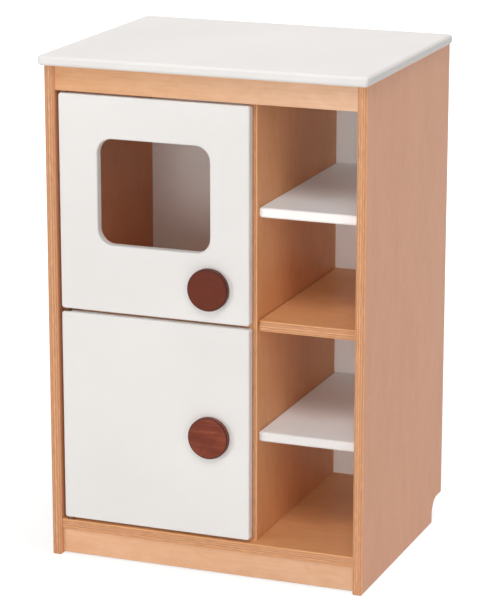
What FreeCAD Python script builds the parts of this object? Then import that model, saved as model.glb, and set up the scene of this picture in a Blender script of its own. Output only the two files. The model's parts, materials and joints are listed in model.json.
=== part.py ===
import FreeCAD, Part
import math
import os
import re
import Sketcher

# A play-kitchen cupboard: a microwave door with an open window over a plain cupboard door on the left,
# an open column of four bays on the right, a white worktop, a plywood carcase on dowels.
# Millimetres, +Z up, the front faces -Y. The origin is on the floor under the middle of the worktop.

# Driving sizes, each set by itself
SIZES = {
    "cabinet_width": 475,
    "side_depth": 370,
    "side_height": 720,
    "ply": 15,
    "side_arris": 3,
    "ply_arris": 1.5,
    "skirting_depth": 45,
    "skirting_height": 35,
    "skirting_radius": 22,
    "worktop_thickness": 14,
    "worktop_front_overhang": 14,
    "worktop_side_overhang": 4,
    "worktop_corner": 6,
    "worktop_arris": 4.5,
    "fascia_setback": 3.5,
    "rail_height": 36.5,
    "floor_top": 54,
    "plinth_setback": 3.2,
    "plinth_floor_gap": 2.5,
    "right_bay_width": 149.5,
    "shelf_setback": 4,
    "shelf_corner": 3,
    "shelf_divider_gap": 1,
    "loose_shelf_thickness": 14,
    "loose_shelf_side_gap": 0.5,
    "loose_shelf_back_gap": 0.8,
    "loose_shelf_corner": 5,
    "loose_shelf_arris": 3.5,
    "back_thickness": 5,
    "back_inset": 20,
    "back_groove_depth": 6,
    "back_edge_gap": 0.5,
    "back_face_gap": 0.05,
    "door_thickness": 14,
    "door_left_gap": 4.5,
    "door_reveal": 5.5,
    "door_top_gap": 3,
    "door_middle_gap": 5,
    "door_bottom_gap": 4,
    "door_back_gap": 1,
    "door_corner": 4,
    "door_arris": 2.5,
    "window_side_margin": 58.5,
    "window_top_margin": 60.5,
    "window_bottom_margin": 97.75,
    "window_corner": 22,
    "knob_diameter": 60,
    "knob_thickness": 10,
    "knob_arris": 1.6,
    "knob_from_edge": 59,
    "microwave_knob_height": 48.5,
    "cupboard_knob_height": 147,
    "knob_screw_diameter": 4,
    "knob_screw_length": 20,
    "knob_screw_head_diameter": 8,
    "knob_screw_head_height": 2.6,
    "pivot_diameter": 5,
    "pivot_running_gap": 0.05,
    "pin_in_door": 20,
    "pin_in_bush": 10,
    "pin_bevel": 0.6,
    "bush_diameter": 8,
    "bush_length": 12,
    "bush_flange_diameter": 11,
    "thrust_gap": 0.3,
    "plate_thickness": 2,
    "plate_width": 40,
    "plate_pin_margin": 4.5,
    "plate_in_shelf": 26,
    "plate_corner": 3,
    "plate_screw_margin": 8,
    "plate_screw_length": 12,
    "catch_height": 30,
    "catch_width": 12,
    "catch_depth": 15,
    "catch_ear": 9,
    "catch_ear_thickness": 2.5,
    "catch_corner": 2,
    "catch_below_door_top": 40,
    "magnet_height": 24,
    "magnet_width": 6,
    "magnet_depth": 9,
    "strike_thickness": 1.5,
    "strike_height": 40,
    "strike_width": 12,
    "strike_corner": 3,
    "strike_screw_spacing": 28,
    "small_screw_diameter": 3,
    "small_screw_head_diameter": 5.6,
    "screw_recess_span": 3.2,
    "screw_recess_width": 0.9,
    "screw_recess_depth": 1,
    "catch_screw_length": 11,
    "strike_screw_length": 10,
    "back_screw_length": 16,
    "back_screw_margin": 40,
    "dowel_diameter": 8,
    "dowel_length": 30,
    "dowel_in_face": 10,
    "dowel_chamfer": 1,
    "dowel_margin": 45,
    "through_dowel_reach": 18,
    "hole_end_gap": 0.5,
    "seat_gap": 0.03,
    "shelf_pin_diameter": 5,
    "shelf_pin_in_board": 8,
    "shelf_pin_stub": 8,
    "shelf_pin_margin": 40,
}

# Places worked out from the driving sizes
PLACES = {
    "x_left": "-cabinet_width / 2",
    "x_right": "cabinet_width / 2",
    "x_inner_left": "x_left + ply",
    "x_inner_right": "x_right - ply",
    "inner_width": "cabinet_width - 2 * ply",
    "x_bay": "x_inner_right - right_bay_width",
    "x_divider": "x_bay - ply",
    "left_width": "x_divider - x_inner_left",
    "x_door": "x_inner_left + door_left_gap",
    "door_width": "x_bay - door_reveal - x_door",
    "x_pivot": "x_door + door_thickness / 2",
    "y_rear": "(side_depth + worktop_front_overhang) / 2",
    "y_front": "y_rear - side_depth",
    "y_fascia": "y_front + fascia_setback",
    "y_pivot": "y_fascia + door_thickness / 2",
    "y_door_back": "y_fascia + door_thickness",
    "y_divider": "y_door_back + door_back_gap",
    "y_shelf": "y_divider + shelf_setback",
    "y_back": "y_rear - back_inset - back_thickness",
    "y_plinth": "y_fascia + plinth_setback",
    "y_catch": "y_door_back + strike_thickness + thrust_gap",
    "rail_thickness": "door_thickness + door_back_gap",
    "floor_depth": "y_back - y_fascia",
    "shelf_depth": "y_back - y_shelf",
    "divider_depth": "y_back - y_divider",
    "divider_height": "side_height - floor_top",
    "z_rail": "side_height - rail_height",
    "z_floor": "floor_top - ply",
    "plinth_height": "z_floor - plinth_floor_gap",
    "bay_height": "(z_rail - floor_top - 2 * loose_shelf_thickness - ply) / 4",
    "z_lower_shelf": "floor_top + bay_height",
    "z_middle": "z_lower_shelf + loose_shelf_thickness + bay_height",
    "z_middle_centre": "z_middle + ply / 2",
    "z_upper_shelf": "z_middle + ply + bay_height",
    "z_cupboard_door": "floor_top + door_bottom_gap",
    "z_cupboard_door_top": "z_middle_centre - door_middle_gap / 2",
    "z_microwave_door": "z_middle_centre + door_middle_gap / 2",
    "z_microwave_door_top": "z_rail - door_top_gap",
    "x_knob": "x_door + door_width - knob_from_edge",
    "x_catch": "x_divider - catch_width",
    "x_plate": "x_pivot - plate_pin_margin",
    "y_plate": "y_pivot - plate_pin_margin",
    "plate_depth": "y_shelf + plate_in_shelf - y_plate",
    "z_microwave_catch": "z_microwave_door_top - catch_below_door_top",
    "z_cupboard_catch": "z_cupboard_door_top - catch_below_door_top",
    "dowel_hole": "dowel_diameter + 2 * seat_gap",
    "small_screw_hole": "small_screw_diameter + 2 * seat_gap",
    "bush_seat": "bush_diameter + 2 * seat_gap",
    "pin_seat": "pivot_diameter + 2 * seat_gap",
    "running_bore": "pivot_diameter + 2 * pivot_running_gap",
    "shelf_pin_hole": "shelf_pin_diameter + 2 * seat_gap",
    "face_hole_depth": "dowel_in_face + hole_end_gap",
    "edge_hole_depth": "dowel_length - dowel_in_face + hole_end_gap",
}

# Sketch plane, sense of its normal along the axis, and whether a cut from that side runs with the normal
SIDES = {
    "left": ("YZ_Plane", 1, True),
    "right": ("YZ_Plane", 1, False),
    "front": ("XZ_Plane", -1, False),
    "rear": ("XZ_Plane", -1, True),
    "bottom": ("XY_Plane", 1, True),
    "top": ("XY_Plane", 1, False),
}

# Turns that lay a piece drawn along +Z the way it points in the cupboard
TURNS = {
    "+x": FreeCAD.Rotation(FreeCAD.Vector(0, 1, 0), 90),
    "-x": FreeCAD.Rotation(FreeCAD.Vector(0, 1, 0), -90),
    "+y": FreeCAD.Rotation(FreeCAD.Vector(1, 0, 0), -90),
    "-y": FreeCAD.Rotation(FreeCAD.Vector(1, 0, 0), 90),
    "+z": FreeCAD.Rotation(),
    "-z": FreeCAD.Rotation(FreeCAD.Vector(1, 0, 0), 180),
}

# Closeness that counts as the same place, and the size a sketch is drawn at before it is bound
NEAR = 0.001
ROUGH = 1.0

doc = FreeCAD.newDocument("toy_microwave")
sheet = doc.addObject("Spreadsheet::Sheet", "Sizes")
for row, (alias, number) in enumerate(SIZES.items(), start=1):
    sheet.set(f"A{row}", alias)
    sheet.set(f"B{row}", str(number))
    sheet.setAlias(f"B{row}", alias)
doc.recompute()

pieces = []


# Expressions and features

def bound(text):
    """Write size and place names as references to the sheet's cells."""
    def swap(match):
        word = match.group(0)
        if word in PLACES:
            return f"({bound(PLACES[word])})"
        return f"Sizes.{word}"
    return re.sub(r"[a-z]\w*", swap, text)


def bind(thing, prop, text):
    thing.setExpression(prop, bound(text))


def place(thing, at, direction="+z"):
    thing.Placement = FreeCAD.Placement(FreeCAD.Vector(), TURNS[direction])
    for axis, text in zip("xyz", at):
        bind(thing, f"Placement.Base.{axis}", text)


def new_body(label, at=("0", "0", "0"), direction="+z", is_piece=True):
    body = doc.addObject("PartDesign::Body", label)
    body.Label = label
    place(body, at, direction)
    if is_piece:
        pieces.append(body)
    return body


def origin_feature(body, role):
    return next(item for item in body.Origin.OriginFeatures if item.Role == role)


def new_sketch(body, role, offset="0"):
    sketch = body.newObject("Sketcher::SketchObject", f"{body.Name}_sketch")
    sketch.AttachmentSupport = [(origin_feature(body, role), "")]
    sketch.MapMode = "FlatFace"
    bind(sketch, "AttachmentOffset.Base.z", offset)
    return sketch


def fix_point(sketch, geometry, end, at):
    for kind, text in zip(("DistanceX", "DistanceY"), at):
        number = sketch.addConstraint(Sketcher.Constraint(kind, -1, 1, geometry, end, ROUGH))
        bind(sketch, f"Constraints[{number}]", text)


def draw_outline(sketch, points):
    """Closed outline of straight lines through the given points."""
    count = len(points)
    turns = [2 * math.pi * step / count for step in range(count)]
    rough = [FreeCAD.Vector(math.cos(turn), math.sin(turn), 0) for turn in turns]
    lines = [Part.LineSegment(rough[step], rough[(step + 1) % count]) for step in range(count)]
    ids = sketch.addGeometry(lines, False)
    for step in range(count):
        sketch.addConstraint(Sketcher.Constraint("Coincident", ids[step], 2, ids[(step + 1) % count], 1))
    for line, point in zip(ids, points):
        fix_point(sketch, line, 1, point)


def draw_circle(sketch, centre, diameter):
    circle = sketch.addGeometry(Part.Circle(FreeCAD.Vector(), FreeCAD.Vector(0, 0, 1), ROUGH), False)
    fix_point(sketch, circle, 3, centre)
    number = sketch.addConstraint(Sketcher.Constraint("Diameter", circle, ROUGH))
    bind(sketch, f"Constraints[{number}]", diameter)


def box_points(left, low, right, high):
    return [(left, low), (right, low), (right, high), (left, high)]


def pad(body, sketch, length, reverse=False):
    feature = body.newObject("PartDesign::Pad", f"{body.Name}_pad")
    feature.Profile = sketch
    feature.Reversed = reverse
    bind(feature, "Length", length)
    doc.recompute()


def board(label, at, plane, points, thickness):
    """A panel cut to an outline in one plane and given its thickness towards +X, +Y or +Z."""
    body = new_body(label, at)
    sketch = new_sketch(body, plane)
    draw_outline(sketch, points)
    pad(body, sketch, thickness, reverse=plane == "XZ_Plane")
    return body


def sketch_on_side(body, side, level):
    plane, sense, _ = SIDES[side]
    return new_sketch(body, plane, level if sense > 0 else f"-({level})")


def pocket(body, sketch, side, depth):
    before = body.Shape.Volume
    feature = body.newObject("PartDesign::Pocket", f"{body.Name}_pocket")
    feature.Profile = sketch
    feature.Reversed = SIDES[side][2]
    bind(feature, "Length", depth)
    doc.recompute()
    if body.Shape.Volume > before - NEAR:
        raise RuntimeError(f"{body.Label}: a cut from its {side} removes nothing")


def drill(body, side, level, centres, diameter, depth):
    sketch = sketch_on_side(body, side, level)
    for centre in centres:
        draw_circle(sketch, centre, diameter)
    pocket(body, sketch, side, depth)


def recess(body, side, level, points, depth):
    sketch = sketch_on_side(body, side, level)
    draw_outline(sketch, points)
    pocket(body, sketch, side, depth)


def countersink(body, side, level, centres, depth):
    """Screw holes with a countersunk mouth, all of the small screw's size."""
    sketch = sketch_on_side(body, side, level)
    for centre in centres:
        draw_circle(sketch, centre, "small_screw_hole")
    doc.recompute()
    before = body.Shape.Volume
    feature = body.newObject("PartDesign::Hole", f"{body.Name}_hole")
    feature.Profile = sketch
    feature.Threaded = False
    feature.HoleCutType = "Countersink"
    feature.HoleCutCustomValues = True
    feature.HoleCutCountersinkAngle = 90
    feature.DepthType = "Dimension"
    feature.DrillPoint = "Flat"
    feature.Reversed = SIDES[side][2]
    bind(feature, "Diameter", "small_screw_hole")
    bind(feature, "HoleCutDiameter", "small_screw_head_diameter + 2 * seat_gap")
    bind(feature, "Depth", depth)
    doc.recompute()
    if body.Shape.Volume > before - NEAR:
        raise RuntimeError(f"{body.Label}: its screw holes remove nothing")


def revolve(body, points):
    """Turned solid about the body's Z axis from a half profile of (radius, height) points."""
    sketch = new_sketch(body, "XZ_Plane")
    draw_outline(sketch, points)
    feature = body.newObject("PartDesign::Revolution", f"{body.Name}_turned")
    feature.Profile = sketch
    feature.ReferenceAxis = (origin_feature(body, "Z_Axis"), [""])
    feature.Angle = 360
    doc.recompute()


def soften(body, size, chosen, kind="Fillet"):
    """Round or bevel the edges that the test picks from the body's solid and its box."""
    solid = body.Tip.Shape
    box = solid.BoundBox
    names = [f"Edge{number}" for number, edge in enumerate(solid.Edges, 1) if chosen(edge.BoundBox, box)]
    if not names:
        raise RuntimeError(f"{body.Label}: no edge to soften")
    base = body.Tip
    feature = body.newObject(f"PartDesign::{kind}", f"{body.Name}_{kind.lower()}")
    feature.Base = (base, names)
    bind(feature, "Radius" if kind == "Fillet" else "Size", size)
    doc.recompute()


# Tests that pick edges by where they lie in the solid's box

def lies_at(edge, axis, level):
    low = getattr(edge, f"{axis}Min")
    high = getattr(edge, f"{axis}Max")
    return abs(low - level) < NEAR and abs(high - level) < NEAR


def runs_along(edge, axis):
    across = [getattr(edge, f"{other}Length") for other in "XYZ" if other != axis]
    return max(across) < NEAR


def front_edges_along(axis):
    return lambda edge, box: runs_along(edge, axis) and lies_at(edge, "Y", box.YMin)


def rims(axis):
    """All edges in the two outer faces square to an axis."""
    def chosen(edge, box):
        levels = (getattr(box, f"{axis}Min"), getattr(box, f"{axis}Max"))
        return any(lies_at(edge, axis, level) for level in levels)
    return chosen


def corners_along(axis):
    return lambda edge, box: runs_along(edge, axis)


# Groups of identical pieces: one master, shown once for each place

def group(label, master, spots):
    links = []
    for number, (at, direction) in enumerate(spots, start=1):
        link = doc.addObject("App::Link", f"{label}_{number}")
        link.LinkedObject = master
        place(link, at, direction)
        links.append(link)
    together = doc.addObject("Part::Compound", label)
    together.Label = label
    together.Links = links
    doc.recompute()
    pieces.append(together)


# Where the boards are joined, in the cupboard's frame

floor_centre = "floor_top - ply / 2"
rail_centre = "side_height - rail_height / 2"
plinth_centre = "plinth_floor_gap + plinth_height / 2"
divider_centre = "x_divider + ply / 2"
bay_centre = "x_bay + right_bay_width / 2"
floor_dowel_y = ("y_fascia + dowel_margin", "y_back - dowel_margin")
shelf_dowel_y = ("y_shelf + dowel_margin", "y_back - dowel_margin")
worktop_dowel_y = ("y_front + dowel_margin", "y_back - dowel_margin")
divider_dowel_y = ("y_divider + dowel_margin", "y_back - dowel_margin")
rail_dowel_y = ("y_fascia + rail_thickness / 2", "y_back - ply / 2")
plinth_dowel_y = "y_plinth + ply / 2"
shelf_pin_y = ("y_shelf + shelf_pin_margin", "y_back - loose_shelf_back_gap - shelf_pin_margin")
shelf_pin_drop = "shelf_pin_diameter / 2 + seat_gap"
upper_pins = [(y, f"z_upper_shelf - ({shelf_pin_drop})") for y in shelf_pin_y]
lower_pins = [(y, f"z_lower_shelf - ({shelf_pin_drop})") for y in shelf_pin_y]

floor_dowels = [(y, floor_centre) for y in floor_dowel_y]
shelf_dowels = [(y, "z_middle_centre") for y in shelf_dowel_y]
rail_dowels = [(y, rail_centre) for y in rail_dowel_y]
plinth_dowels = [(plinth_dowel_y, plinth_centre)]
side_dowels = floor_dowels + shelf_dowels + rail_dowels + plinth_dowels

screw_columns = ("x_inner_left + back_screw_margin", "x_divider - back_screw_margin")
last_screw_column = "x_inner_right - back_screw_margin"
floor_screws = [(x, floor_centre) for x in screw_columns + (last_screw_column,)]
rail_screws = [(x, rail_centre) for x in screw_columns + (last_screw_column,)]
microwave_floor_screws = [(x, "z_middle_centre") for x in screw_columns]
middle_shelf_screws = [(bay_centre, "z_middle_centre")]
divider_screws = [(divider_centre, z) for z in ("z_lower_shelf", "z_upper_shelf")]
back_screws = floor_screws + rail_screws + microwave_floor_screws + middle_shelf_screws + divider_screws
back_screw_depth = "back_screw_length - back_thickness + hole_end_gap"

catch_screw_reach = "(catch_height + catch_ear) / 2"
catch_screw_y = "y_catch + catch_depth / 2"


def catch_screw_levels(catch_z):
    return [f"{catch_z} {sign} {catch_screw_reach}" for sign in "+-"]


def from_corner(spots, corner):
    """Spots in the cupboard's frame, measured from a board's own corner."""
    return [tuple(f"{text} - ({base})" for text, base in zip(spot, corner)) for spot in spots]


# Carcase boards

def side_panel(label, x, inner, inner_level):
    """Stands on the floor, with a rounded notch for the skirting board and a stopped groove for the back."""
    corner = ("y_front", "0")
    outline = [
        ("0", "0"),
        ("side_depth - skirting_depth", "0"),
        ("side_depth - skirting_depth", "skirting_height"),
        ("side_depth", "skirting_height"),
        ("side_depth", "side_height"),
        ("0", "side_height"),
    ]
    body = board(label, (x, "y_front", "0"), "YZ_Plane", outline, "ply")

    def notch_corner(edge, box):
        is_inside = box.YMin + NEAR < edge.YMin < box.YMax - NEAR and edge.ZMin > box.ZMin + NEAR
        return runs_along(edge, "X") and is_inside

    def below_worktop(edge, box):
        return rims("X")(edge, box) and not lies_at(edge, "Z", box.ZMax)

    soften(body, "skirting_radius", notch_corner)
    soften(body, "side_arris", below_worktop)
    groove = box_points("y_back - y_front - back_face_gap", "z_floor",
                        "y_back - y_front + back_thickness + back_face_gap", "side_height")
    recess(body, inner, inner_level, groove, "back_groove_depth")
    drill(body, inner, inner_level, from_corner(side_dowels, corner), "dowel_hole", "face_hole_depth")
    top_holes = [("ply / 2", f"{y} - (y_front)") for y in worktop_dowel_y]
    drill(body, "top", "side_height", top_holes, "dowel_hole", "edge_hole_depth")
    return body


side_panel("left_side_panel", "x_left", "right", "ply")
right_side = side_panel("right_side_panel", "x_inner_right", "left", "0")
right_pins = from_corner(upper_pins + lower_pins, ("y_front", "0"))
drill(right_side, "left", "0", right_pins, "shelf_pin_hole", "shelf_pin_in_board + hole_end_gap")


def front_and_foot_edges(edge, box):
    is_foot = runs_along(edge, "Y") and lies_at(edge, "Z", box.ZMin)
    return is_foot or front_edges_along("Z")(edge, box)


def divider():
    corner = ("y_divider", "floor_top")
    outline = [
        ("0", "0"),
        ("divider_depth", "0"),
        ("divider_depth", "divider_height - rail_height"),
        ("divider_depth - ply", "divider_height - rail_height"),
        ("divider_depth - ply", "divider_height"),
        ("0", "divider_height"),
    ]
    body = board("divider", ("x_divider", "y_divider", "floor_top"), "YZ_Plane", outline, "ply")
    soften(body, "ply_arris", front_and_foot_edges)
    drill(body, "left", "0", from_corner(shelf_dowels, corner), "dowel_hole", "ply")
    pins = from_corner(upper_pins + lower_pins, corner)
    drill(body, "right", "ply", pins, "shelf_pin_hole", "shelf_pin_in_board + hole_end_gap")
    screws = [(catch_screw_y, z) for catch in ("z_microwave_catch", "z_cupboard_catch")
              for z in catch_screw_levels(catch)]
    drill(body, "left", "0", from_corner(screws, corner), "small_screw_hole",
          "catch_screw_length - catch_ear_thickness + hole_end_gap")
    ends = [("ply / 2", f"{y} - (y_divider)") for y in divider_dowel_y]
    drill(body, "bottom", "0", ends, "dowel_hole", "edge_hole_depth")
    drill(body, "top", "divider_height", ends, "dowel_hole", "edge_hole_depth")
    rear = from_corner(divider_screws, ("x_divider", "floor_top"))
    drill(body, "rear", "divider_depth", rear, "small_screw_hole", back_screw_depth)


divider()


def floor_panel():
    corner = ("x_inner_left", "y_fascia")
    outline = box_points("0", "0", "inner_width", "floor_depth")
    body = board("floor_panel", corner + ("z_floor",), "XY_Plane", outline, "ply")
    soften(body, "ply_arris", front_edges_along("X"))
    ends = from_corner(floor_dowels, ("y_fascia", "z_floor"))
    drill(body, "left", "0", ends, "dowel_hole", "edge_hole_depth")
    drill(body, "right", "inner_width", ends, "dowel_hole", "edge_hole_depth")
    under_divider = from_corner([(divider_centre, y) for y in divider_dowel_y], corner)
    drill(body, "top", "ply", under_divider, "dowel_hole", "face_hole_depth")
    pivot = from_corner([("x_pivot", "y_pivot")], corner)
    drill(body, "top", "ply", pivot, "bush_seat", "bush_length + hole_end_gap")
    rear = from_corner(floor_screws, ("x_inner_left", "z_floor"))
    drill(body, "rear", "floor_depth", rear, "small_screw_hole", back_screw_depth)


floor_panel()


def fixed_shelf(label, x, width, dowel_ends, screws):
    """Plywood shelf on dowels at both ends: long ones to the side panel, short ones through the divider."""
    outline = box_points("0", "0", width, "shelf_depth")
    body = board(label, (x, "y_shelf", "z_middle"), "XY_Plane", outline, "ply")
    soften(body, "shelf_corner", front_edges_along("Z"))
    soften(body, "ply_arris", rims("Z"))
    holes = from_corner(shelf_dowels, ("y_shelf", "z_middle"))
    for side, level, depth in dowel_ends:
        drill(body, side, level, holes, "dowel_hole", depth)
    rear = from_corner(screws, (x, "z_middle"))
    drill(body, "rear", "shelf_depth", rear, "small_screw_hole", back_screw_depth)
    return body


to_side = "edge_hole_depth"
to_divider = "through_dowel_reach + hole_end_gap"
microwave_floor = fixed_shelf("microwave_floor", "x_inner_left", "left_width",
                              [("left", "0", to_side), ("right", "left_width", to_divider)],
                              microwave_floor_screws)
middle_width = "right_bay_width - shelf_divider_gap"
fixed_shelf("middle_shelf", "x_bay + shelf_divider_gap", middle_width,
            [("left", "0", to_divider), ("right", middle_width, to_side)],
            middle_shelf_screws)

# The saw cut in the microwave floor's front edge that holds the pivot plate, and the plate's screw holes
plate_screw_x = ("x_plate + plate_screw_margin", "x_plate + plate_width - plate_screw_margin")
plate_screw_y = "y_shelf + plate_in_shelf - plate_screw_margin"
plate_screws = [(x, plate_screw_y) for x in plate_screw_x]
plate_slot = box_points("x_plate - x_inner_left - seat_gap", "(ply - plate_thickness) / 2 - seat_gap",
                        "x_plate + plate_width - x_inner_left + seat_gap",
                        "(ply + plate_thickness) / 2 + seat_gap")
recess(microwave_floor, "front", "0", plate_slot, "plate_in_shelf + seat_gap")
countersink(microwave_floor, "bottom", "0", from_corner(plate_screws, ("x_inner_left", "y_shelf")),
            "plate_screw_length + hole_end_gap")


def loose_shelf(label, z):
    outline = box_points("0", "0", "right_bay_width - 2 * loose_shelf_side_gap",
                         "shelf_depth - loose_shelf_back_gap")
    body = board(label, ("x_bay + loose_shelf_side_gap", "y_shelf", z), "XY_Plane", outline,
                 "loose_shelf_thickness")
    soften(body, "loose_shelf_corner", front_edges_along("Z"))
    soften(body, "loose_shelf_arris", rims("Z"))


loose_shelf("upper_loose_shelf", "z_upper_shelf")
loose_shelf("lower_loose_shelf", "z_lower_shelf")


def cross_board(label, y, z, height, thickness, dowel_spots):
    """Upright board between the side panels, dowelled at both ends."""
    outline = box_points("0", "0", "inner_width", height)
    body = board(label, ("x_inner_left", y, z), "XZ_Plane", outline, thickness)
    ends = from_corner(dowel_spots, (y, z))
    drill(body, "left", "0", ends, "dowel_hole", "edge_hole_depth")
    drill(body, "right", "inner_width", ends, "dowel_hole", "edge_hole_depth")
    return body


def lower_front_edge(edge, box):
    return front_edges_along("X")(edge, box) and lies_at(edge, "Z", box.ZMin)


top_rail = cross_board("top_rail", "y_fascia", "z_rail", "rail_height", "rail_thickness", rail_dowels[:1])
soften(top_rail, "ply_arris", lower_front_edge)
drill(top_rail, "bottom", "0", from_corner([("x_pivot", "y_pivot")], ("x_inner_left", "y_fascia")),
      "bush_seat", "bush_length + hole_end_gap")
rear_rail = cross_board("rear_rail", "y_back - ply", "z_rail", "rail_height", "ply", rail_dowels[1:])
drill(rear_rail, "rear", "ply", from_corner(rail_screws, ("x_inner_left", "z_rail")), "small_screw_hole",
      back_screw_depth)
plinth = cross_board("plinth", "y_plinth", "plinth_floor_gap", "plinth_height", "ply", plinth_dowels)
soften(plinth, "ply_arris", lower_front_edge)


def back_panel():
    corner = ("x_inner_left - back_groove_depth + back_edge_gap", "z_floor")
    outline = box_points("0", "0", "inner_width + 2 * (back_groove_depth - back_edge_gap)",
                         "side_height - z_floor")
    body = board("back_panel", (corner[0], "y_back", corner[1]), "XZ_Plane", outline, "back_thickness")
    countersink(body, "rear", "back_thickness", from_corner(back_screws, corner), "back_thickness")


back_panel()


def worktop():
    corner = ("x_left - worktop_side_overhang", "y_front - worktop_front_overhang")
    outline = box_points("0", "0", "cabinet_width + 2 * worktop_side_overhang",
                         "side_depth + worktop_front_overhang")
    body = board("worktop", corner + ("side_height",), "XY_Plane", outline, "worktop_thickness")
    soften(body, "worktop_corner", corners_along("Z"))
    soften(body, "worktop_arris", rims("Z"))
    spots = [(x, y) for x in ("x_left + ply / 2", "x_right - ply / 2") for y in worktop_dowel_y]
    spots += [(divider_centre, y) for y in divider_dowel_y]
    drill(body, "bottom", "0", from_corner(spots, corner), "dowel_hole", "face_hole_depth")


worktop()


# Round bars: dowels, shelf pins and pivot pins

def round_bar(body, start, length, diameter, bevel):
    sketch = new_sketch(body, "XY_Plane", start)
    draw_circle(sketch, ("0", "0"), diameter)
    pad(body, sketch, length)
    soften(body, bevel, rims("Z"), "Chamfer")


dowel = new_body("dowel", is_piece=False)
round_bar(dowel, "-dowel_in_face", "dowel_length", "dowel_diameter", "dowel_chamfer")
through_dowel = new_body("through_dowel", is_piece=False)
round_bar(through_dowel, "-ply / 2 - through_dowel_reach", "ply + 2 * through_dowel_reach", "dowel_diameter",
          "dowel_chamfer")
shelf_pin = new_body("shelf_pin", is_piece=False)
round_bar(shelf_pin, "-shelf_pin_in_board", "shelf_pin_in_board + shelf_pin_stub", "shelf_pin_diameter",
          "pin_bevel")


def between_sides(spots):
    left = [(("x_inner_left",) + spot, "+x") for spot in spots]
    right = [(("x_inner_right",) + spot, "-x") for spot in spots]
    return left + right


def across_bay(spots):
    left = [(("x_bay",) + spot, "+x") for spot in spots]
    right = [(("x_inner_right",) + spot, "-x") for spot in spots]
    return left + right


worktop_spots = [("x_left + ply / 2", y) for y in worktop_dowel_y]
worktop_spots += [(divider_centre, y) for y in divider_dowel_y]
worktop_spots += [("x_right - ply / 2", y) for y in worktop_dowel_y]
group("worktop_dowels", dowel, [(spot + ("side_height",), "-z") for spot in worktop_spots])
group("divider_dowels", dowel, [((divider_centre, y, "floor_top"), "+z") for y in divider_dowel_y])
group("floor_dowels", dowel, between_sides(floor_dowels))
group("shelf_dowels", dowel, between_sides(shelf_dowels))
group("rail_dowels", dowel, between_sides(rail_dowels))
group("plinth_dowels", dowel, between_sides(plinth_dowels))
group("through_dowels", through_dowel, [((divider_centre,) + spot, "+x") for spot in shelf_dowels])
group("upper_shelf_pins", shelf_pin, across_bay(upper_pins))
group("lower_shelf_pins", shelf_pin, across_bay(lower_pins))


# Screws: the head's face lies at the origin and the point is towards +Z

def cross_recess(body, level):
    arm = "screw_recess_span / 2"
    half = "screw_recess_width / 2"
    points = [
        (arm, f"-{half}"), (arm, half), (half, half), (half, arm), (f"-{half}", arm), (f"-{half}", half),
        (f"-{arm}", half), (f"-{arm}", f"-{half}"), (f"-{half}", f"-{half}"), (f"-{half}", f"-{arm}"),
        (half, f"-{arm}"), (half, f"-{half}"),
    ]
    recess(body, "bottom", level, points, "screw_recess_depth")


def countersunk_screw(label, length):
    body = new_body(label, is_piece=False)
    head = "small_screw_head_diameter / 2"
    core = "small_screw_diameter / 2"
    revolve(body, [("0", "0"), (head, "0"), (core, f"{head} - {core}"),
                   (core, f"{length} - small_screw_diameter"), ("0", length)])
    cross_recess(body, "0")
    return body


back_screw = countersunk_screw("back_screw", "back_screw_length")
y_back_outside = "y_back + back_thickness"
group("back_panel_screws", back_screw, [((x, y_back_outside, z), "-y") for x, z in back_screws])

# Pivots: a bush in the rail, a bush in the floor panel, and between the doors a plate with one pin

def pivot_bush(label, at, direction, flange):
    """Plain bush let into an edge, its flange filling the gap beside it up to the thrust gap."""
    bore = "running_bore / 2"
    shank = "bush_diameter / 2"
    rim = "bush_flange_diameter / 2"
    body = new_body(label, at, direction)
    revolve(body, [(bore, f"-({flange})"), (rim, f"-({flange})"), (rim, "0"), (shank, "0"),
                   (shank, "bush_length"), (bore, "bush_length")])


def pivot_pin(label, at, direction, buried, free):
    body = new_body(label, at, direction)
    round_bar(body, f"-({buried})", f"{buried} + {free}", "pivot_diameter", "pin_bevel")


plate_side_flange = "(door_middle_gap - plate_thickness) / 2 - thrust_gap"
pivot_bush("rail_pivot_bush", ("x_pivot", "y_pivot", "z_rail"), "+z", "door_top_gap - thrust_gap")
pivot_bush("floor_pivot_bush", ("x_pivot", "y_pivot", "floor_top"), "-z", "door_bottom_gap - thrust_gap")


def pivot_plate():
    """Flat plate in the saw cut, with a narrow tongue that carries the pin between the doors."""
    corner = ("x_plate", "y_plate")
    tongue = "2 * plate_pin_margin"
    shelf_edge = "y_shelf - (y_plate)"
    outline = [("0", "0"), (tongue, "0"), (tongue, shelf_edge), ("plate_width", shelf_edge),
               ("plate_width", "plate_depth"), ("0", "plate_depth")]
    at = corner + ("z_middle_centre - plate_thickness / 2",)
    body = board("centre_pivot_plate", at, "XY_Plane", outline, "plate_thickness")
    soften(body, "plate_corner", front_edges_along("Z"))
    drill(body, "top", "plate_thickness", from_corner([("x_pivot", "y_pivot")], corner), "pin_seat",
          "plate_thickness")
    drill(body, "top", "plate_thickness", from_corner(plate_screws, corner), "small_screw_hole",
          "plate_thickness")


pivot_plate()
pin_reach = "door_middle_gap / 2 + pin_in_bush"
pivot_pin("centre_pivot_pin", ("x_pivot", "y_pivot", "z_middle_centre"), "+z", pin_reach, pin_reach)
plate_screw = countersunk_screw("plate_screw", "plate_screw_length")
group("centre_plate_screws", plate_screw, [(spot + ("z_middle",), "+z") for spot in plate_screws])


# Magnetic catches on the divider

catch_screw = countersunk_screw("catch_screw", "catch_screw_length")


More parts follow.
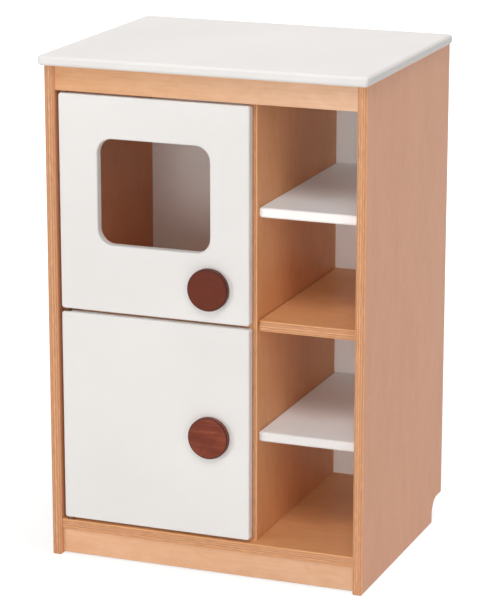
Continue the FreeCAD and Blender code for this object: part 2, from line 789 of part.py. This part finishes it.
def catch(name, z):
    half = "catch_height / 2"
    housing = new_body(f"{name}_catch_housing", ("x_catch", "y_catch", z))
    block = new_sketch(housing, "YZ_Plane")
    draw_outline(block, box_points("0", f"-{half}", "catch_depth", half))
    pad(housing, block, "catch_width")
    ears = new_sketch(housing, "YZ_Plane", "catch_width - catch_ear_thickness")
    draw_outline(ears, box_points("0", f"-{half} - catch_ear", "catch_depth", f"{half} + catch_ear"))
    pad(housing, ears, "catch_ear_thickness")
    soften(housing, "catch_corner", corners_along("X"))
    mouth = box_points("(catch_width - magnet_width) / 2 - seat_gap", "-magnet_height / 2 - seat_gap",
                       "(catch_width + magnet_width) / 2 + seat_gap", "magnet_height / 2 + seat_gap")
    recess(housing, "front", "0", mouth, "magnet_depth + seat_gap")
    holes = from_corner([(catch_screw_y, level) for level in catch_screw_levels(z)], ("y_catch", z))
    countersink(housing, "left", "catch_width - catch_ear_thickness", holes, "catch_ear_thickness")

    magnet = board(f"{name}_catch_magnet", ("x_catch + (catch_width - magnet_width) / 2", "y_catch", z),
                   "XZ_Plane", box_points("0", "-magnet_height / 2", "magnet_width", "magnet_height / 2"),
                   "magnet_depth")
    soften(magnet, "pin_bevel", lambda edge, box: lies_at(edge, "Y", box.YMin), "Chamfer")

    head_x = "x_divider - catch_ear_thickness"
    spots = [((head_x, catch_screw_y, level), "+x") for level in catch_screw_levels(z)]
    group(f"{name}_catch_screws", catch_screw, spots)


catch("microwave", "z_microwave_catch")
catch("cupboard", "z_cupboard_catch")


# Doors, each with its knob, pivots and strike plate

strike_screw = countersunk_screw("strike_screw", "strike_screw_length")


def is_window_corner(edge, box):
    is_inside = box.XMin + NEAR < edge.XMin and edge.XMax < box.XMax - NEAR
    return runs_along(edge, "Y") and is_inside


def is_outer_corner(edge, box):
    return runs_along(edge, "Y") and (lies_at(edge, "X", box.XMin) or lies_at(edge, "X", box.XMax))


def door(name, z, top, knob_height, catch_z, has_window, pin_side, bush_side):
    height = f"{top} - ({z})"
    levels = {"top": height, "bottom": "0"}
    outline = box_points("0", "0", "door_width", height)
    body = board(f"{name}_door", ("x_door", "y_fascia", z), "XZ_Plane", outline, "door_thickness")
    if has_window:
        window = box_points("window_side_margin", "window_bottom_margin", "door_width - window_side_margin",
                            f"{height} - window_top_margin")
        recess(body, "front", "0", window, "door_thickness")
        soften(body, "window_corner", is_window_corner)
    soften(body, "door_corner", is_outer_corner)
    soften(body, "door_arris", rims("Y"))
    pivot = from_corner([("x_pivot", "y_pivot")], ("x_door", "y_fascia"))
    drill(body, pin_side, levels[pin_side], pivot, "pin_seat", "pin_in_door + hole_end_gap")
    drill(body, bush_side, levels[bush_side], pivot, "bush_seat", "bush_length + hole_end_gap")
    knob_spot = [("door_width - knob_from_edge", knob_height)]
    drill(body, "front", "0", knob_spot, "knob_screw_diameter + 2 * seat_gap", "door_thickness")
    strike_x = "x_catch + catch_width / 2"
    strike_levels = [f"{catch_z} {sign} strike_screw_spacing / 2" for sign in "+-"]
    strike_spots = [(strike_x, level) for level in strike_levels]
    drill(body, "rear", "door_thickness", from_corner(strike_spots, ("x_door", z)), "small_screw_hole",
          "strike_screw_length - strike_thickness + hole_end_gap")

    knob_z = f"{z} + {knob_height}"
    knob = new_body(f"{name}_knob", ("x_knob", "y_fascia", knob_z), "-y")
    revolve(knob, [("0", "0"), ("knob_diameter / 2", "0"), ("knob_diameter / 2", "knob_thickness"),
                   ("0", "knob_thickness")])
    soften(knob, "knob_arris", rims("Z"))
    drill(knob, "bottom", "0", [("0", "0")], "knob_screw_diameter + 2 * seat_gap",
          "knob_screw_length - door_thickness + hole_end_gap")

    screw = new_body(f"{name}_knob_screw", ("x_knob", "y_door_back", knob_z), "-y")
    head = "knob_screw_head_diameter / 2"
    core = "knob_screw_diameter / 2"
    revolve(screw, [("0", "-knob_screw_head_height"), (f"{head} - pin_bevel", "-knob_screw_head_height"),
                    (head, "pin_bevel - knob_screw_head_height"), (head, "0"), (core, "0"),
                    (core, "knob_screw_length - knob_screw_diameter"), ("0", "knob_screw_length")])
    cross_recess(screw, "-knob_screw_head_height")

    if pin_side == "top":
        pivot_pin(f"{name}_pivot_pin", ("x_pivot", "y_pivot", top), "+z", "pin_in_door",
                  "door_top_gap + pin_in_bush")
        pivot_bush(f"{name}_pivot_bush", ("x_pivot", "y_pivot", z), "+z", plate_side_flange)
    else:
        pivot_pin(f"{name}_pivot_pin", ("x_pivot", "y_pivot", z), "-z", "pin_in_door",
                  "door_bottom_gap + pin_in_bush")
        pivot_bush(f"{name}_pivot_bush", ("x_pivot", "y_pivot", top), "-z", plate_side_flange)

    strike_outline = box_points("-strike_width / 2", "-strike_height / 2", "strike_width / 2",
                                "strike_height / 2")
    strike = board(f"{name}_strike_plate", (strike_x, "y_door_back", catch_z), "XZ_Plane", strike_outline,
                   "strike_thickness")
    soften(strike, "strike_corner", corners_along("Y"))
    countersink(strike, "rear", "strike_thickness", from_corner(strike_spots, (strike_x, catch_z)),
                "strike_thickness")
    y_strike = "y_door_back + strike_thickness"
    group(f"{name}_strike_screws", strike_screw, [((x, y_strike, level), "-y") for x, level in strike_spots])


door("microwave", "z_microwave_door", "z_microwave_door_top", "microwave_knob_height", "z_microwave_catch",
     True, "top", "bottom")
door("cupboard", "z_cupboard_door", "z_cupboard_door_top", "cupboard_knob_height", "z_cupboard_catch",
     False, "bottom", "top")

# Check every object, then write one file for each piece

doc.recompute()
for thing in doc.Objects:
    if "Invalid" in thing.State or "Error" in thing.State:
        raise RuntimeError(f"{thing.Label}: {thing.State}")
for piece in pieces:
    if piece.Shape.isNull() or not piece.Shape.isValid() or not piece.Shape.Solids:
        raise RuntimeError(f"{piece.Label}: no valid solid")

os.makedirs("parts", exist_ok=True)
for piece in pieces:
    piece.Shape.exportStep(f"parts/{piece.Label}.step")
print(len(pieces), "pieces")
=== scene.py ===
import json
import math
import random

import bpy
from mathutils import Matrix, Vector

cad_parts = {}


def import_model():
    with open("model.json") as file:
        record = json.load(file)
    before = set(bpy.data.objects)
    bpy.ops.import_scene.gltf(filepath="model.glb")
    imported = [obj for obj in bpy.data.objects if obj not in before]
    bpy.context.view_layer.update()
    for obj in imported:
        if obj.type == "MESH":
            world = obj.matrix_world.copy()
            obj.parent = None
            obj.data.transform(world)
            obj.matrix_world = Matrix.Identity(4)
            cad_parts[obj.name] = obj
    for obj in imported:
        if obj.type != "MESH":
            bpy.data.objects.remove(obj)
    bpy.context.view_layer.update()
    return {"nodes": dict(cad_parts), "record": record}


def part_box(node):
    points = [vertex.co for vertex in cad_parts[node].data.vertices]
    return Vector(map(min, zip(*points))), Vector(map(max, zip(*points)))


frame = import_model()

nodes = frame["nodes"]

# The photograph's frame in pixels, and the camera that was fitted to it, in metres and degrees
IMAGE_HEIGHT = 612
FOCAL_PIXELS = 2697.4
CAMERA_AT = (1.3647, -3.5222, 1.3664)
CAMERA_TURN = 21.307
CAMERA_TILT = 15.045
CAMERA_REACH = 100
SENSOR = 36.0


# Colours

def srgb(red, green, blue):
    """Scene-linear colour for a display colour given from 0 to 255."""
    def linear(level):
        level = level / 255
        return level / 12.92 if level <= 0.04045 else ((level + 0.055) / 1.055) ** 2.4
    return (linear(red), linear(green), linear(blue), 1.0)


def grey(level):
    """Neutral scene-linear colour."""
    return (level, level, level, 1.0)


def tones(dark, middle, light):
    """Ramp stops for a wood, from its dark streaks to its light ones."""
    return [(0.0, srgb(*dark)), (0.5, srgb(*middle)), (1.0, srgb(*light))]


WHITE = grey(1.0)

# Most values of a noise lie between these two
NOISE_LOW = 0.3
NOISE_HIGH = 0.7


# Short ways to write a node tree

class Tree:
    def __init__(self, owner):
        owner.use_nodes = True
        self.owner = owner
        self.nodes = owner.node_tree.nodes
        self.links = owner.node_tree.links
        self.shader = self.nodes.get("Principled BSDF")

    def add(self, kind, links=None, values=None, **settings):
        node = self.nodes.new(f"ShaderNode{kind}")
        for name, value in settings.items():
            setattr(node, name, value)
        for name, value in (values or {}).items():
            node.inputs[name].default_value = value
        for name, source in (links or {}).items():
            self.links.new(source, node.inputs[name])
        return node

    def math(self, operation, first, second, clamp=False):
        node = self.nodes.new("ShaderNodeMath")
        node.operation = operation
        node.use_clamp = clamp
        for socket, value in zip(node.inputs, (first, second)):
            if isinstance(value, (int, float)):
                socket.default_value = value
            else:
                self.links.new(value, socket)
        return node.outputs[0]

    def mix(self, factor, first, second, blend="MIX"):
        node = self.nodes.new("ShaderNodeMix")
        node.data_type = "RGBA"
        node.blend_type = blend
        for name, value in (("Factor_Float", factor), ("A_Color", first), ("B_Color", second)):
            socket = next(item for item in node.inputs if item.identifier == name)
            if isinstance(value, (int, float, tuple)):
                socket.default_value = value
            else:
                self.links.new(value, socket)
        return next(item for item in node.outputs if item.identifier == "Result_Color")

    def ramp(self, source, stops, interpolation="LINEAR"):
        node = self.nodes.new("ShaderNodeValToRGB")
        node.color_ramp.interpolation = interpolation
        elements = node.color_ramp.elements
        while len(elements) < len(stops):
            elements.new(1.0)
        for element, (place, colour) in zip(elements, stops):
            element.position = place
            element.color = colour if isinstance(colour, tuple) else grey(colour)
        self.links.new(source, node.inputs["Fac"])
        return node.outputs["Color"]

    def spread(self, noise, low, high):
        """Values or colours from low to high over the range that a noise mostly has."""
        return self.ramp(noise, [(NOISE_LOW, low), (NOISE_HIGH, high)])

    def noise(self, vector, detail, roughness=0.55, distortion=0.0):
        node = self.add("TexNoise", links={"Vector": vector},
                        values={"Scale": 1.0, "Detail": detail, "Roughness": roughness,
                                "Distortion": distortion})
        return node.outputs["Fac"]

    def along_grain(self, grain, scale, offset):
        """Object coordinates times a scale along the grain and one across it, moved by an offset."""
        along, across = scale
        scales = [across, across, across]
        scales["XYZ".index(grain)] = along
        node = self.add("Mapping", links={"Vector": self.place()},
                        values={"Scale": scales, "Location": offset})
        return node.outputs["Vector"]

    def even(self, scale, offset):
        """Object coordinates times one scale all round, moved by an offset."""
        return self.along_grain("Z", (scale, scale), offset)

    def place(self):
        return self.add("TexCoord").outputs["Object"]

    def parts(self):
        return self.add("SeparateXYZ", links={"Vector": self.place()}).outputs

    def set(self, **values):
        for name, value in values.items():
            self.shader.inputs[name.replace("_", " ")].default_value = value

    def finish(self, colour, roughness, bump, bump_depth, bump_strength):
        self.links.new(colour, self.shader.inputs["Base Color"])
        self.links.new(roughness, self.shader.inputs["Roughness"])
        node = self.add("Bump", links={"Height": bump},
                        values={"Strength": bump_strength, "Distance": bump_depth})
        self.links.new(node.outputs["Normal"], self.shader.inputs["Normal"])
        return self.owner


def material_tree(name):
    return Tree(bpy.data.materials.new(name))


OFFSET_REACH = 9


def seeded_offset(name):
    """A steady place in the texture for each piece, so no two boards repeat."""
    draw = random.Random(name)
    return [draw.uniform(-OFFSET_REACH, OFFSET_REACH) for _ in range(3)]


# Wood figure: texture scales along and across the grain, per metre, and each layer's share of the tone
BROAD_SCALE = (3.5, 12)
CURL_SCALE = (22, 48)
STREAK_SCALE = (14, 420)
PORE_SCALE = (130, 1700)
BROAD_SHARE = 0.40
CURL_SHARE = 0.26
STREAK_SHARE = 0.34
PORE_START = 0.60
PORE_FULL = 0.72
PORE_DARKNESS = 0.16
MIDDLE = 0.5


def wood_figure(tree, grain, offset, stops, contrast):
    """Wood colour of broad soft bands, a cloudy curl, fine streaks and short pores, and the streaks alone."""
    broad = tree.noise(tree.along_grain(grain, BROAD_SCALE, offset), detail=3, distortion=0.8)
    streaks = tree.noise(tree.along_grain(grain, STREAK_SCALE, offset), detail=4, roughness=0.6)
    pores = tree.noise(tree.along_grain(grain, PORE_SCALE, offset), detail=1)
    curl = tree.noise(tree.along_grain(grain, CURL_SCALE, offset), detail=2, distortion=1.6)
    bands = tree.math("MULTIPLY", broad, BROAD_SHARE)
    slow = tree.math("ADD", bands, tree.math("MULTIPLY", curl, CURL_SHARE))
    tone = tree.math("ADD", slow, tree.math("MULTIPLY", streaks, STREAK_SHARE))
    swing = tree.math("MULTIPLY", tree.math("SUBTRACT", tone, MIDDLE), contrast)
    colour = tree.ramp(tree.math("ADD", swing, MIDDLE, clamp=True), stops)
    pore_mask = tree.ramp(pores, [(PORE_START, 0.0), (PORE_FULL, 1.0)])
    darkest = stops[0][1]
    colour = tree.mix(tree.math("MULTIPLY", pore_mask, PORE_DARKNESS), colour, darkest)
    return colour, streaks


# Plywood: the plies are cut through wherever a board's edge or rounded arris crosses them

# Each board's thickness axis, its grain axis and its face veneer
BOARDS = {
    "left_side_panel": ("X", "Z", "left"),
    "right_side_panel": ("X", "Z", "side"),
    "divider": ("X", "Z", "inside"),
    "floor_panel": ("Z", "X", "floor"),
    "microwave_floor": ("Z", "X", "shelf"),
    "middle_shelf": ("Z", "X", "shelf"),
    "top_rail": ("Y", "X", "rail"),
    "rear_rail": ("Y", "X", "rail"),
    "plinth": ("Y", "X", "plinth"),
}

# Boards whose face colour turns paler from left to right
PALER_AT_RIGHT = {"top_rail": "pale_rail", "plinth": "pale_plinth"}

# Veneer tones per board. The boards differ in tone, and the inside boards' tones are also raised as painted
# light, most of all the divider's 'inside' tones, while the rail's are lowered as painted shade where it
# takes more light from above
VENEER = {
    "side": tones((208, 144, 104), (219, 156, 118), (227, 167, 131)),
    "left": tones((204, 138, 96), (213, 149, 108), (220, 159, 120)),
    "rail": tones((190, 131, 85), (204, 150, 106), (216, 167, 127)),
    "pale_rail": tones((196, 148, 112), (210, 170, 139), (222, 188, 162)),
    "plinth": tones((200, 147, 106), (215, 165, 127), (226, 181, 148)),
    "pale_plinth": tones((196, 147, 109), (211, 167, 133), (222, 183, 154)),
    "floor": tones((202, 140, 91), (218, 158, 108), (228, 173, 124)),
    "shelf": tones((206, 143, 93), (222, 161, 110), (231, 175, 126)),
    "inside": tones((213, 151, 102), (230, 170, 120), (239, 184, 136)),
}
BOARD_CONTRAST = 2.0

PLY_COUNT = 9
PLY_WIDTHS = (0.75, 1.25)
PLY_TONES = (0.9, 1.08)
LONG_PLY = srgb(220, 167, 124)
CROSS_PLY = srgb(202, 144, 102)
GLUE = srgb(172, 108, 74)
GLUE_WIDTH = 0.08 / PLY_COUNT
GLUE_SHADES = (0.2, 1.0)
FACE_DEPTH = 0.7 / PLY_COUNT
SWAY_SCALE = (3, 8)
SWAY_DEPTH = 0.02
FIBRE_SCALE = (60, 900)
FIBRE_DARK = srgb(214, 206, 200)


def ply_stops(name):
    """Colour steps across a board's thickness: long-grain and cross-grain plies with dark glue lines."""
    draw = random.Random(f"{name} plies")
    widths = [draw.uniform(*PLY_WIDTHS) for _ in range(PLY_COUNT)]
    stops = []
    start = 0.0
    for number, width in enumerate(widths):
        base = LONG_PLY if number % 2 == 0 else CROSS_PLY
        tone = draw.uniform(*PLY_TONES)
        ply = tuple(channel * tone for channel in base[:3]) + (1.0,)
        if number:
            share = draw.uniform(*GLUE_SHADES)
            glue = tuple(share * dark + (1 - share) * light for dark, light in zip(GLUE, ply))
            stops.append((start - GLUE_WIDTH, glue))
        stops.append((start, ply))
        start += width / sum(widths)
    return stops


def plywood(name):
    axis, grain, veneer = BOARDS[name]
    low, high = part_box(name)
    number = "XYZ".index(axis)
    tree = material_tree(f"plywood_{name}")
    offset = seeded_offset(name)
    parts = tree.parts()
    face, streaks = wood_figure(tree, grain, offset, VENEER[veneer], BOARD_CONTRAST)
    if name in PALER_AT_RIGHT:
        paler, _ = wood_figure(tree, grain, offset, VENEER[PALER_AT_RIGHT[name]], BOARD_CONTRAST)
        across = tree.add("MapRange", links={"Value": parts["X"]},
                          values={"From Min": low[0], "From Max": high[0]})
        face = tree.mix(across.outputs["Result"], face, paler)

    depth = tree.math("DIVIDE", tree.math("SUBTRACT", parts[number], low[number]), high[number] - low[number])
    sway = tree.noise(tree.along_grain(grain, SWAY_SCALE, offset), detail=1)
    sideways = tree.math("MULTIPLY", tree.math("SUBTRACT", sway, MIDDLE), SWAY_DEPTH)
    plies = tree.ramp(tree.math("ADD", depth, sideways), ply_stops(name), "CONSTANT")
    fibres = tree.noise(tree.along_grain(grain, FIBRE_SCALE, offset), detail=3)
    plies = tree.mix(1.0, plies, tree.spread(fibres, FIBRE_DARK, WHITE), "MULTIPLY")
    face_mask = tree.ramp(depth, [(0.0, 1.0), (FACE_DEPTH, 0.0), (1 - FACE_DEPTH, 1.0)], "CONSTANT")
    colour = tree.mix(face_mask, plies, face)

    roughness = tree.spread(streaks, low=0.38, high=0.5)
    tree.set(Specular_IOR_Level=0.25, Coat_Weight=0.06, Coat_Roughness=0.3)
    return tree.finish(colour, roughness, streaks, bump_depth=0.0001, bump_strength=0.25)


# White lacquer on fibreboard

# Lit and shaded copies of one white lacquer: the greyer tones are painted shade for faces that take the most
# light, and the cooler and cleaner ones are painted light for boards inside, the cool tint offsetting warm
# light thrown back by the wood
LACQUER = {
    "grey": (srgb(214, 211, 208), srgb(219, 216, 213)),
    "soft": (srgb(216, 212, 209), srgb(221, 217, 214)),
    "warm": (srgb(236, 232, 229), srgb(241, 237, 234)),
    "cool": (srgb(238, 244, 248), srgb(243, 249, 253)),
    "clean": (srgb(247, 247, 247), srgb(252, 252, 252)),
}

# The tone on each board's front face, mostly a darker one as painted shade, and the tone on the rest of it, a
# lighter one as painted light inside
LIGHT_AND_SHADE_TONES = {
    "worktop": ("grey", "soft"),
    "microwave_door": ("grey", "warm"),
    "cupboard_door": ("grey", "warm"),
    "upper_loose_shelf": ("warm", "cool"),
    "lower_loose_shelf": ("soft", "cool"),
    "back_panel": ("clean", "clean"),
}

# Metres behind the front face between which the front face's tone gives way to the rest's, blending painted
# shade into painted light
LIGHT_SHADE_CHANGE_START = 0.0010
LIGHT_SHADE_CHANGE_END = 0.0035

CLOUD_SCALE = 5
SPECK_SCALE = 900
PEEL_SCALE = 260


def lacquer(name):
    tree = material_tree(f"lacquer_{name}")
    offset = seeded_offset(name)
    cloud = tree.noise(tree.even(CLOUD_SCALE, offset), detail=3)
    # Painted shade on the front face, painted light on the rest
    front, rest = (tree.spread(cloud, *LACQUER[shade_tone]) for shade_tone in LIGHT_AND_SHADE_TONES[name])
    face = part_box(name)[0][1]
    behind = tree.add("MapRange", links={"Value": tree.parts()["Y"]},
                      values={"From Min": face + LIGHT_SHADE_CHANGE_START, "From Max": face + LIGHT_SHADE_CHANGE_END})
    colour = tree.mix(behind.outputs["Result"], front, rest)
    speck = tree.noise(tree.even(SPECK_SCALE, offset), detail=2)
    roughness = tree.spread(speck, low=0.37, high=0.47)
    peel = tree.noise(tree.even(PEEL_SCALE, offset), detail=2)
    tree.set(Specular_IOR_Level=0.25)
    return tree.finish(colour, roughness, peel, bump_depth=0.00006, bump_strength=0.2)


# Stained knobs

STAIN = {
    "microwave_knob": tones((72, 22, 11), (90, 33, 13), (124, 52, 31)),
    "cupboard_knob": tones((80, 26, 14), (107, 46, 27), (146, 70, 48)),
}
KNOB_CONTRAST = {"microwave_knob": 0.8, "cupboard_knob": 3.0}

# Painted shade along the rim's front arris, and the metres from the edge at which it starts and is full
RIM_PAINTED_SHADE = srgb(50, 20, 15)
RIM_START = 0.0024
RIM_FULL = 0.0010
RIM_DARKNESS = 0.8
ACROSS_KNOB = (1.0, 0.0, 1.0)


def knob_rim(tree, name):
    """Share of painted shade that gathers along the front edge of a knob."""
    low, high = (Vector(corner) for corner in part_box(name))
    radius = (high.x - low.x) / 2
    centre = (low + high) / 2
    away = tree.add("VectorMath", links={0: tree.place()}, values={1: centre}, operation="SUBTRACT")
    flat = tree.add("VectorMath", links={0: away.outputs["Vector"]}, values={1: ACROSS_KNOB},
                    operation="MULTIPLY")
    reach = tree.add("VectorMath", links={0: flat.outputs["Vector"]}, operation="LENGTH")
    near_edge = tree.add("MapRange", links={"Value": reach.outputs["Value"]},
                         values={"From Min": radius - RIM_START, "From Max": radius - RIM_FULL,
                                 "To Max": RIM_DARKNESS})
    near_front = tree.add("MapRange", links={"Value": tree.parts()["Y"]},
                          values={"From Min": low.y + RIM_START, "From Max": low.y + RIM_FULL})
    return tree.math("MULTIPLY", near_edge.outputs["Result"], near_front.outputs["Result"])


def stained_knob(name):
    tree = material_tree(f"stain_{name}")
    colour, streaks = wood_figure(tree, "X", seeded_offset(name), STAIN[name], KNOB_CONTRAST[name])
    # Painted shade darkens the front arris
    colour = tree.mix(knob_rim(tree, name), colour, RIM_PAINTED_SHADE)
    roughness = tree.spread(streaks, low=0.34, high=0.46)
    tree.set(Specular_IOR_Level=0.2, Coat_Weight=0.04, Coat_Roughness=0.2)
    return tree.finish(colour, roughness, streaks, bump_depth=0.0001, bump_strength=0.3)


# Dowels, metal, plastic and magnets

BEECH = tones((176, 132, 96), (206, 166, 128), (222, 186, 150))
BEECH_CONTRAST = 1.6
UPRIGHT_DOWELS = ("worktop_dowels", "divider_dowels")


def beech(name):
    tree = material_tree(f"beech_{name}")
    grain = "Z" if name in UPRIGHT_DOWELS else "X"
    colour, streaks = wood_figure(tree, grain, seeded_offset(name), BEECH, BEECH_CONTRAST)
    roughness = tree.spread(streaks, low=0.6, high=0.75)
    return tree.finish(colour, roughness, streaks, bump_depth=0.0001, bump_strength=0.3)


BRIGHT_ZINC = (srgb(182, 184, 188), srgb(208, 209, 210))
# Dark brown for metal in the door gap: painted shade
GAP_SHADE_ZINC = (srgb(84, 56, 40), srgb(104, 72, 52))
ZINC_PATCH_SCALE = 180
ZINC_SCRATCH_SCALE = (300, 2600)

# Metal that shows in the gap between the doors, given a dark brown as painted shade so that the gap reads as
# one dark line
DARKENED_IN_GAP = ("centre_pivot_plate", "centre_pivot_pin")


def zinc(name):
    tree = material_tree(f"zinc_{name}")
    offset = seeded_offset(name)
    patches = tree.noise(tree.even(ZINC_PATCH_SCALE, offset), detail=4)
    colour = tree.spread(patches, *(GAP_SHADE_ZINC if name in DARKENED_IN_GAP else BRIGHT_ZINC))
    scratches = tree.noise(tree.along_grain("Z", ZINC_SCRATCH_SCALE, offset), detail=3)
    roughness = tree.spread(scratches, low=0.26, high=0.42)
    tree.set(Metallic=1.0)
    return tree.finish(colour, roughness, scratches, bump_depth=0.00003, bump_strength=0.3)


# Mid brown, the colour of the wood in shade, as painted shade, so that nylon showing in the door gap reads as
# part of its dark line
NYLON_GAP_SHADE = (srgb(102, 70, 50), srgb(116, 81, 59))
NYLON_CLOUD_SCALE = 90
NYLON_GRAIN_SCALE = 1500


def nylon(name):
    tree = material_tree(f"nylon_{name}")
    offset = seeded_offset(name)
    cloud = tree.noise(tree.even(NYLON_CLOUD_SCALE, offset), detail=3)
    grain = tree.noise(tree.even(NYLON_GRAIN_SCALE, offset), detail=2)
    roughness = tree.spread(grain, low=0.4, high=0.52)
    return tree.finish(tree.spread(cloud, *NYLON_GAP_SHADE), roughness, grain, bump_depth=0.00003, bump_strength=0.2)


FERRITE = (srgb(44, 44, 46), srgb(66, 66, 69))
FERRITE_GRIT_SCALE = 1200


def ferrite(name):
    tree = material_tree(f"ferrite_{name}")
    grit = tree.noise(tree.even(FERRITE_GRIT_SCALE, seeded_offset(name)), detail=4)
    roughness = tree.spread(grit, low=0.5, high=0.66)
    return tree.finish(tree.spread(grit, *FERRITE), roughness, grit, bump_depth=0.00004, bump_strength=0.4)


# Each node is dressed by its material slot in the record

FINISHES = {
    "plywood": plywood,
    "white_board": lacquer,
    "knob_wood": stained_knob,
    "dowel_beech": beech,
    "zinc_steel": zinc,
    "nylon": nylon,
    "ferrite": ferrite,
}

for part in frame["record"]["subparts"]:
    make_material = FINISHES[part["material_slot"]]
    slots = nodes[part["node"]].data.materials
    slots.clear()
    slots.append(make_material(part["node"]))


# Floor and world

FLOOR_SIZE = 30.0
FLOOR_TONE = grey(0.8)
FLOOR_SHADE = grey(0.3)
FLOOR_GLOW_NEAR = 0.78
FLOOR_GLOW_FAR = 1.0
FLOOR_FADE_START = 0.5
FLOOR_FADE_END = 2.0
AMBIENT = 0.06


def white_where_seen(tree, plain, glow):
    """Background that is white to the camera, in gloss and through glass, and the plain shader otherwise."""
    path = tree.add("LightPath").outputs
    mirrored = tree.math("MAXIMUM", path["Is Glossy Ray"], path["Is Transmission Ray"])
    seen = tree.math("MAXIMUM", path["Is Camera Ray"], mirrored)
    return tree.add("MixShader", links={0: seen, 1: plain.outputs[0], 2: glow.outputs[0]}).outputs[0]


def floor():
    """Pale floor that keeps a light shadow by the object and fades to plain white further out."""
    mesh = bpy.data.meshes.new("floor")
    half = FLOOR_SIZE / 2
    corners = [(-half, -half, 0), (half, -half, 0), (half, half, 0), (-half, half, 0)]
    mesh.from_pydata(corners, [], [(0, 1, 2, 3)])
    plane = bpy.data.objects.new("floor", mesh)
    bpy.context.scene.collection.objects.link(plane)
    tree = material_tree("floor")
    tree.nodes.remove(tree.shader)
    soft = tree.add("BsdfDiffuse", values={"Color": FLOOR_TONE})
    faint = tree.add("BsdfDiffuse", values={"Color": FLOOR_SHADE})
    away = tree.add("VectorMath", links={0: tree.place()}, operation="LENGTH")
    fade = tree.add("MapRange", links={"Value": away.outputs["Value"]},
                    values={"From Min": FLOOR_FADE_START, "From Max": FLOOR_FADE_END,
                            "To Min": FLOOR_GLOW_NEAR, "To Max": FLOOR_GLOW_FAR})
    glow = tree.add("Emission", links={"Strength": fade.outputs["Result"]}, values={"Color": WHITE})
    shaded = tree.add("AddShader", links={0: glow.outputs[0], 1: faint.outputs[0]})
    surface = white_where_seen(tree, soft, shaded)
    tree.links.new(surface, tree.nodes["Material Output"].inputs["Surface"])
    mesh.materials.append(tree.owner)


def world():
    made = bpy.data.worlds.new("studio")
    bpy.context.scene.world = made
    tree = Tree(made)
    tree.nodes.clear()
    output = tree.nodes.new("ShaderNodeOutputWorld")
    ambient = tree.add("Background", values={"Color": WHITE, "Strength": AMBIENT})
    white = tree.add("Background", values={"Color": WHITE, "Strength": 1.0})
    tree.links.new(white_where_seen(tree, ambient, white), output.inputs["Surface"])


# Lamps and camera

AIM = Vector((0.0, 0.0, 0.38))
LAMP_DISTANCE = 12.0


def softbox(name, azimuth, elevation, size, power, has_shadow=True, is_mirrored=True):
    """Square lamp aimed at the object, placed by its angle from the front and its height angle."""
    light = bpy.data.lights.new(name, "AREA")
    light.shape = "SQUARE"
    light.size = size
    light.energy = power
    light.use_shadow = has_shadow
    turn = math.radians(azimuth)
    rise = math.radians(elevation)
    way = Vector((math.sin(turn) * math.cos(rise), -math.cos(turn) * math.cos(rise), math.sin(rise)))
    lamp = bpy.data.objects.new(name, light)
    lamp.visible_glossy = is_mirrored
    lamp.location = AIM + LAMP_DISTANCE * way
    lamp.rotation_euler = (-way).to_track_quat("-Z", "Y").to_euler()
    bpy.context.scene.collection.objects.link(lamp)


def camera():
    data = bpy.data.cameras.new("photo_camera")
    data.sensor_fit = "VERTICAL"
    data.sensor_width = SENSOR
    data.sensor_height = SENSOR
    data.lens = FOCAL_PIXELS * SENSOR / IMAGE_HEIGHT
    data.clip_end = CAMERA_REACH
    made = bpy.data.objects.new("photo_camera", data)
    made.location = CAMERA_AT
    made.rotation_euler = (math.radians(90 - CAMERA_TILT), 0, math.radians(CAMERA_TURN))
    bpy.context.scene.collection.objects.link(made)
    bpy.context.scene.camera = made


floor()
world()
softbox("left_key", azimuth=-36, elevation=6, size=0.8, power=350)
softbox("level_front", azimuth=6, elevation=5, size=3.0, power=236, is_mirrored=False)
softbox("right_front", azimuth=48, elevation=14, size=4.0, power=178, is_mirrored=False)
softbox("high_front", azimuth=14, elevation=50, size=5.0, power=520)
softbox("top_soft", azimuth=112, elevation=80, size=4.0, power=765, is_mirrored=False)
softbox("rear_fill", azimuth=205, elevation=22, size=5.0, power=310, is_mirrored=False)
softbox("open_fill", azimuth=2, elevation=44, size=4.0, power=178, has_shadow=False)
camera()

bpy.context.scene.view_settings.view_transform = "Standard"
